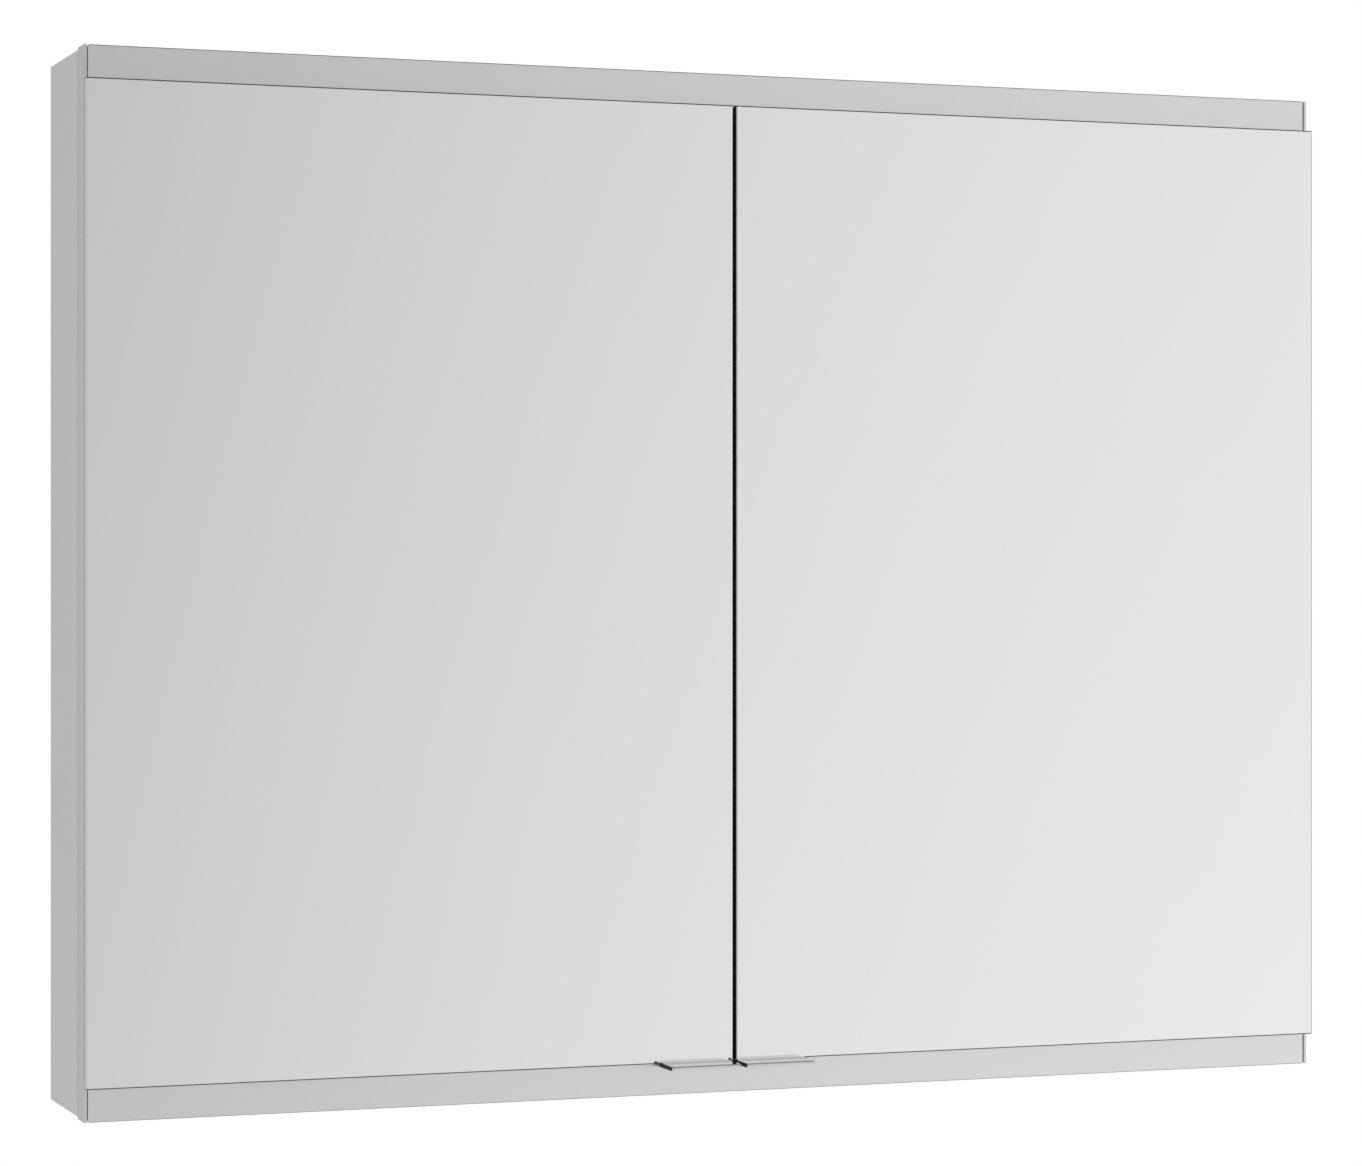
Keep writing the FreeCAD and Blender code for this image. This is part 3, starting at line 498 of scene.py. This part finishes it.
def select_faces(piece, wanted):
    """In edit mode, select just the faces that pass the test."""
    bpy.ops.mesh.select_all(action="DESELECT")
    bpy.ops.object.mode_set(mode="OBJECT")
    for face in piece.data.polygons:
        face.select = wanted(face)
    bpy.ops.object.mode_set(mode="EDIT")


def cut_across(places, axis):
    """In edit mode, cut the whole mesh across at each place along an axis."""
    for place in places:
        bpy.ops.mesh.select_all(action="SELECT")
        bpy.ops.mesh.bisect(plane_co=Vector(axis) * place, plane_no=axis)


def finishes_by_side(piece, finishes, choose):
    """Give each face the finish that its place and normal pick."""
    piece.data.materials.clear()
    for finish in finishes:
        piece.data.materials.append(finish)
    for face in piece.data.polygons:
        face.material_index = finishes.index(choose(face))


def slants(share):
    """Whether a normal leans along an axis without facing that way."""
    return SLANT < abs(share) < FLAT


# ---- pieces ----
def door_glass(layer, hand):
    """One of a door's two mirrors, arrised all round, with painted shade on its meeting edge, on its top
    and bottom arrises except over the pull, and on the right door's side arrises.
    """
    node = "door_%s_mirror_%s" % (layer, hand)
    piece = block("%s_glass_%s" % (layer, hand), *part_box(node))
    inward = 1 if hand == "left" else -1
    pull_low, pull_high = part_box("finger_pull_" + hand)
    only(piece)
    bpy.ops.object.mode_set(mode="EDIT")
    cut_across((pull_low.x, pull_high.x), axis=(1, 0, 0))
    bpy.ops.object.mode_set(mode="OBJECT")
    rounded(piece, GLASS_ARRIS)
    mirror = FINISH["mirror_glass"]

    def choose(face):
        over_pull = face.normal.z < 0 and pull_low.x < face.center.x < pull_high.x
        # meeting edge: painted shade of the gap between the doors
        if face.normal.x * inward > MOSTLY:
            return GAP_SHADE_EDGE
        if slants(face.normal.z):
            # top and bottom arrises: painted shade, left off over the pull, which fills the gap below
            # the door
            return POLISHED_EDGE if over_pull else SHADOW_GAP_ARRIS
        # right door's side arrises take the darker copy: painted shade
        if hand == "right" and slants(face.normal.x):
            return SHADED_SIDE_ARRIS
        return POLISHED_EDGE if abs(face.normal.y) < FLAT else mirror

    finishes_by_side(piece, (mirror, POLISHED_EDGE, SHADOW_GAP_ARRIS, GAP_SHADE_EDGE, SHADED_SIDE_ARRIS), choose)
    stands_for(piece, node)


def interior_glass(hand):
    """Mirror on the back wall, with its polished edge."""
    node = "interior_mirror_" + hand
    piece = rounded(block("interior_glass_" + hand, *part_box(node)), GLASS_ARRIS)
    mirror = FINISH["mirror_glass"]
    finishes_by_side(piece, (mirror, POLISHED_EDGE),
                     lambda face: POLISHED_EDGE if abs(face.normal.y) < FLAT else mirror)
    stands_for(piece, node)


def finger_pull(hand):
    """Chrome plate with a round nose and dark ends, and a leg up the door's back."""
    node = "finger_pull_" + hand
    low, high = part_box(node)
    door_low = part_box("door_front_mirror_" + hand)[0]
    door_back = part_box("door_back_mirror_" + hand)[1].y
    piece = block("pull_" + hand, low, (high.x, high.y, door_low.z))
    only(piece)
    bpy.ops.object.mode_set(mode="EDIT")
    bpy.ops.mesh.select_mode(type="EDGE")
    select_edges(piece, lambda a, b: max(a.y, b.y) < low.y + TINY and abs(a.z - b.z) > TINY)
    bpy.ops.mesh.bevel(offset=PULL_CORNER, segments=PULL_STEPS)
    select_edges(piece, lambda a, b: max(a.y, b.y) < low.y + PULL_CORNER + TINY
                 and abs(a.z - b.z) < TINY)
    bpy.ops.mesh.bevel(offset=PULL_NOSE, segments=PULL_STEPS)
    bpy.ops.mesh.select_mode(type="FACE")
    cut_across((door_back,), axis=(0, 1, 0))
    select_faces(piece, lambda face: face.normal.z > FACING and face.center.y > door_back)
    bpy.ops.mesh.extrude_region_move(TRANSFORM_OT_translate={"value": (0, 0, high.z - door_low.z)})
    bpy.ops.mesh.select_all(action="SELECT")
    bpy.ops.mesh.normals_make_consistent(inside=False)
    bpy.ops.object.mode_set(mode="OBJECT")
    break_edges(piece, PULL_EDGE)
    corner_wedge(piece, door_low)
    keep_flats(piece)
    chrome = FINISH["polished_chrome"]

    def choose(face):
        if abs(face.normal.x) > FLAT:
            return END_FINISH
        on_wedge = face.normal.y < -FACING and abs(face.center.y - door_low.y) < TINY
        return POLISHED_EDGE if on_wedge else chrome

    finishes_by_side(piece, (chrome, END_FINISH, POLISHED_EDGE), choose)
    stands_for(piece, node)


def corner_wedge(piece, door_low):
    """Raise a small wedge on the plate that fills the corner ground off the door's glass."""
    wedge_back = door_low.y + GLASS_ARRIS
    wedge_top = door_low.z + GLASS_ARRIS
    only(piece)
    bpy.ops.object.mode_set(mode="EDIT")
    cut_across((door_low.y, wedge_back), axis=(0, 1, 0))
    select_faces(piece, lambda face: face.normal.z > FACING and abs(face.center.z - door_low.z) < TINY
                 and door_low.y < face.center.y < wedge_back)
    bpy.ops.mesh.extrude_region_move(TRANSFORM_OT_translate={"value": (0, 0, GLASS_ARRIS)})
    bpy.ops.mesh.select_mode(type="EDGE")
    select_edges(piece, lambda a, b: abs(a.y - wedge_back) < TINY and abs(b.y - wedge_back) < TINY
                 and abs(a.z - wedge_top) < TINY and abs(b.z - wedge_top) < TINY)
    bpy.ops.transform.translate(value=(0, 0, -GLASS_ARRIS))
    bpy.ops.mesh.select_all(action="SELECT")
    bpy.ops.mesh.remove_doubles(threshold=TINY)
    bpy.ops.object.mode_set(mode="OBJECT")


def side_wall(hand):
    """Side wall whose front edge stands just clear of the frame profile, with painted shade on its faces
    in that joint.
    """
    node = "side_wall_" + hand
    piece = copy_of(node, "wall_" + hand)
    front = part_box(node)[0].y
    skin = FINISH[SLOT_OF[node]]
    only(piece)
    bpy.ops.object.mode_set(mode="EDIT")
    bpy.ops.mesh.select_mode(type="FACE")
    select_faces(piece, lambda face: face.normal.y < -FACING and face.center.y < front + WALL_SEAM)
    bpy.ops.transform.translate(value=(0, WALL_SEAM, 0))
    bpy.ops.object.mode_set(mode="OBJECT")
    rounded(piece, FINE_EDGE)

    def choose(face):
        # faces in the joint take the darker tone: painted shade
        in_joint_shade = face.normal.y < -SLANT and face.center.y < front + 2 * WALL_SEAM
        return JOINT_SHADE_FINISH if in_joint_shade else skin

    finishes_by_side(piece, (skin, JOINT_SHADE_FINISH), choose)
    stands_for(piece, node)


def light_cover(place):
    """Satin light cover, with a darker rim of painted shade along its rounded top and bottom front
    edges.
    """
    node = "light_cover_" + place
    piece = rounded(copy_of(node, "cover_" + place), COVER_RIM)
    skin = FINISH[SLOT_OF[node]]

    def choose(face):
        # rounded top and bottom front edges take the dark tone: painted shade
        on_shaded_rim = face.normal.y < 0 and slants(face.normal.z)
        return RIM_SHADE_FINISH if on_shaded_rim else skin

    finishes_by_side(piece, (skin, RIM_SHADE_FINISH), choose)
    stands_for(piece, node)


def light_row():
    """The lights on both boards: white packages with a yellow lens set in each."""
    piece = copy_of("leds", "light_row")
    only(piece)
    bpy.ops.object.mode_set(mode="EDIT")
    bpy.ops.mesh.select_mode(type="FACE")
    select_faces(piece, lambda face: face.normal.y < -FACING)
    bpy.ops.mesh.inset(thickness=LENS_INSET, depth=-LENS_DEPTH, use_individual=True)
    bpy.ops.object.mode_set(mode="OBJECT")
    lenses = {face.index for face in piece.data.polygons if face.select}
    package, lens = FINISH["board_white"], FINISH["led_lens"]
    finishes_by_side(piece, (package, lens), lambda face: lens if face.index in lenses else package)
    stands_for(piece, "leds")


def glass_shelf(hand, place):
    """Float glass shelf with green ground edges."""
    node = "glass_shelf_%s_%s" % (hand, place)
    piece = rounded(copy_of(node, "shelf_%s_%s" % (hand, place)), SHELF_ARRIS)
    clear = FINISH["clear_glass"]
    finishes_by_side(piece, (clear, SHELF_EDGE),
                     lambda face: SHELF_EDGE if abs(face.normal.z) < MOSTLY else clear)
    stands_for(piece, node)


def softened(node, name, radius, finish=None):
    """The node's own shape with its sharp edges broken."""
    piece = rounded(copy_of(node, name), radius)
    wears(piece, finish or FINISH[SLOT_OF[node]])
    stands_for(piece, node)


def make_pieces():
    """Every finished piece, each in the place of its CAD node."""
    for hand in HANDS:
        finger_pull(hand)
        door_glass("front", hand)
        door_glass("back", hand)
        interior_glass(hand)
        side_wall(hand)
        softened("frame_profile_" + hand, "profile_" + hand, SHEET_EDGE, PROFILE_FINISH)
        softened("hanging_hook_" + hand, "hook_" + hand, HOOK_EDGE)
        softened("strike_plate_" + hand, "strike_" + hand, SHEET_EDGE)
        for place in PLACES:
            glass_shelf(hand, place)
            softened("hinge_arm_%s_%s" % (hand, place), "arm_%s_%s" % (hand, place), CAST_EDGE)
            softened("hinge_base_%s_%s" % (hand, place), "base_%s_%s" % (hand, place), CAST_EDGE)
    for place in PLACES:
        light_cover(place)
        softened("light_housing_" + place, "housing_" + place, SHEET_EDGE)
        softened("led_board_" + place, "board_" + place, BOARD_EDGE)
        softened("wall_rail_" + place, "rail_" + place, SHEET_EDGE)
    light_row()
    for node, name, radius in SOFT_PIECES:
        softened(node, name, radius)


# ---- stage ----
def world_light():
    """Soft studio surround: brighter to the lower right, darker overhead, white to the camera."""
    world = bpy.data.worlds.new("studio")
    bpy.context.scene.world = world
    world.use_nodes = True
    world.node_tree.nodes.clear()

    def maths(operation, first, second):
        node = add(world, "ShaderNodeMath")
        node.operation = operation
        for socket, value in zip(node.inputs, (first, second)):
            if isinstance(value, (int, float)):
                socket.default_value = value
            else:
                join(world, value, socket)
        return node.outputs["Value"]

    way = add(world, "ShaderNodeTexCoord")
    parts = add(world, "ShaderNodeSeparateXYZ")
    join(world, way.outputs["Generated"], parts.inputs["Vector"])
    x, y, z = (parts.outputs[axis] for axis in "XYZ")
    right = maths("MINIMUM", maths("MAXIMUM", x, 0.0), ROOM_RIGHT)
    front = maths("ADD", maths("MULTIPLY", right, ROOM_RISE), ROOM_BASE)
    front = maths("ADD", front, maths("MULTIPLY", maths("MULTIPLY", right, right), ROOM_BEND))
    front = maths("MAXIMUM", front, maths("ADD", maths("MULTIPLY", x, ROOM_TILT), ROOM_FRONT))
    front = maths("ADD", front, maths("MULTIPLY", z, ROOM_DROP))
    front = maths("ADD", front, smooth_step(world, x, LEFT_SPAN, low=ROOM_LEFT, high=0.0))
    front = maths("ADD", front, smooth_step(world, x, FAR_SPAN, low=0.0, high=ROOM_FAR))
    front = maths("MULTIPLY", front, smooth_step(world, z, OVERHEAD_SPAN, low=1.0, high=OVERHEAD))
    back = smooth_step(world, z, BEHIND_OVERHEAD_SPAN, low=BEHIND, high=BEHIND * OVERHEAD)
    blend = add(world, "ShaderNodeMix")
    join(world, smooth_step(world, y, BEHIND_SPAN), blend.inputs["Factor"])
    join(world, front, blend.inputs["A"])
    join(world, back, blend.inputs["B"])
    white = (1, 1, 1, 1)
    seen = add(world, "ShaderNodeBackground", Color=white)
    lit = add(world, "ShaderNodeBackground", Color=white)
    join(world, blend.outputs["Result"], lit.inputs["Strength"])
    path = add(world, "ShaderNodeLightPath")
    choice = add(world, "ShaderNodeMixShader")
    feed(world, choice, path.outputs["Is Camera Ray"], lit.outputs["Background"],
         seen.outputs["Background"])
    out = add(world, "ShaderNodeOutputWorld")
    join(world, choice.outputs["Shader"], out.inputs["Surface"])


def hang_lamp(light):
    """Put a lamp in the studio that gives light but is in no reflection."""
    lamp = bpy.data.objects.new(light.name, light)
    lamp.visible_glossy = False
    bpy.context.scene.collection.objects.link(lamp)
    return lamp


def key_light():
    """Large soft lamp in front and to the right."""
    light = bpy.data.lights.new("key", "AREA")
    light.shape = "DISK"
    light.size = KEY_SIZE
    light.energy = KEY_POWER
    lamp = hang_lamp(light)
    lamp.location = KEY_PLACE
    lamp.rotation_euler = (Vector(KEY_AIM) - Vector(KEY_PLACE)).to_track_quat("-Z", "Y").to_euler()


def ceiling_light():
    """Wide even light from straight above, as from a lit ceiling."""
    light = bpy.data.lights.new("ceiling", "SUN")
    light.energy = CEILING_POWER
    light.angle = math.radians(CEILING_SPREAD)
    hang_lamp(light)


def floor():
    """Pale disc that melts into the white towards its rim."""
    bpy.ops.object.select_all(action="DESELECT")
    bpy.ops.mesh.primitive_circle_add(vertices=FLOOR_SIDES, radius=FLOOR_RADIUS, fill_type="NGON",
                                      location=(0, 0, -FLOOR_DROP))
    ground = bpy.context.active_object
    ground.name = "floor"
    material, shader = plain_shader("pale_floor", grey(0.86), roughness=0.8)
    tinted(material, shader, grain(material, scale=30.0), low=grey(0.85), high=grey(0.87))
    distance = add(material, "ShaderNodeVectorMath")
    distance.operation = "LENGTH"
    feed(material, distance, object_point(material))
    rim = smooth_step(material, distance.outputs["Value"], (FLOOR_FADE, FLOOR_RADIUS))
    path = add(material, "ShaderNodeLightPath")
    only_seen = add(material, "ShaderNodeMath")
    only_seen.operation = "MULTIPLY"
    feed(material, only_seen, rim, path.outputs["Is Camera Ray"])
    clear = add(material, "ShaderNodeBsdfTransparent")
    fade = add(material, "ShaderNodeMixShader")
    feed(material, fade, only_seen.outputs["Value"], shader.outputs["BSDF"], clear.outputs["BSDF"])
    output = material.node_tree.nodes["Material Output"]
    join(material, fade.outputs["Shader"], output.inputs["Surface"])
    wears(ground, material)


def camera():
    """Level camera in front of the cabinet and to its left."""
    data = bpy.data.cameras.new("camera")
    data.sensor_width = SENSOR_WIDTH
    data.sensor_fit = "HORIZONTAL"
    data.lens = CAMERA_LENS
    data.shift_y = CAMERA_SHIFT_Y
    data.clip_end = CAMERA_REACH
    eye = bpy.data.objects.new("camera", data)
    eye.location = CAMERA_PLACE
    eye.rotation_euler = (math.radians(90), 0, -math.radians(CAMERA_YAW))
    bpy.context.scene.collection.objects.link(eye)
    bpy.context.scene.camera = eye


dress_cad_nodes()
make_pieces()
world_light()
key_light()
ceiling_light()
floor()
camera()
bpy.context.scene.view_settings.view_transform = "Standard"
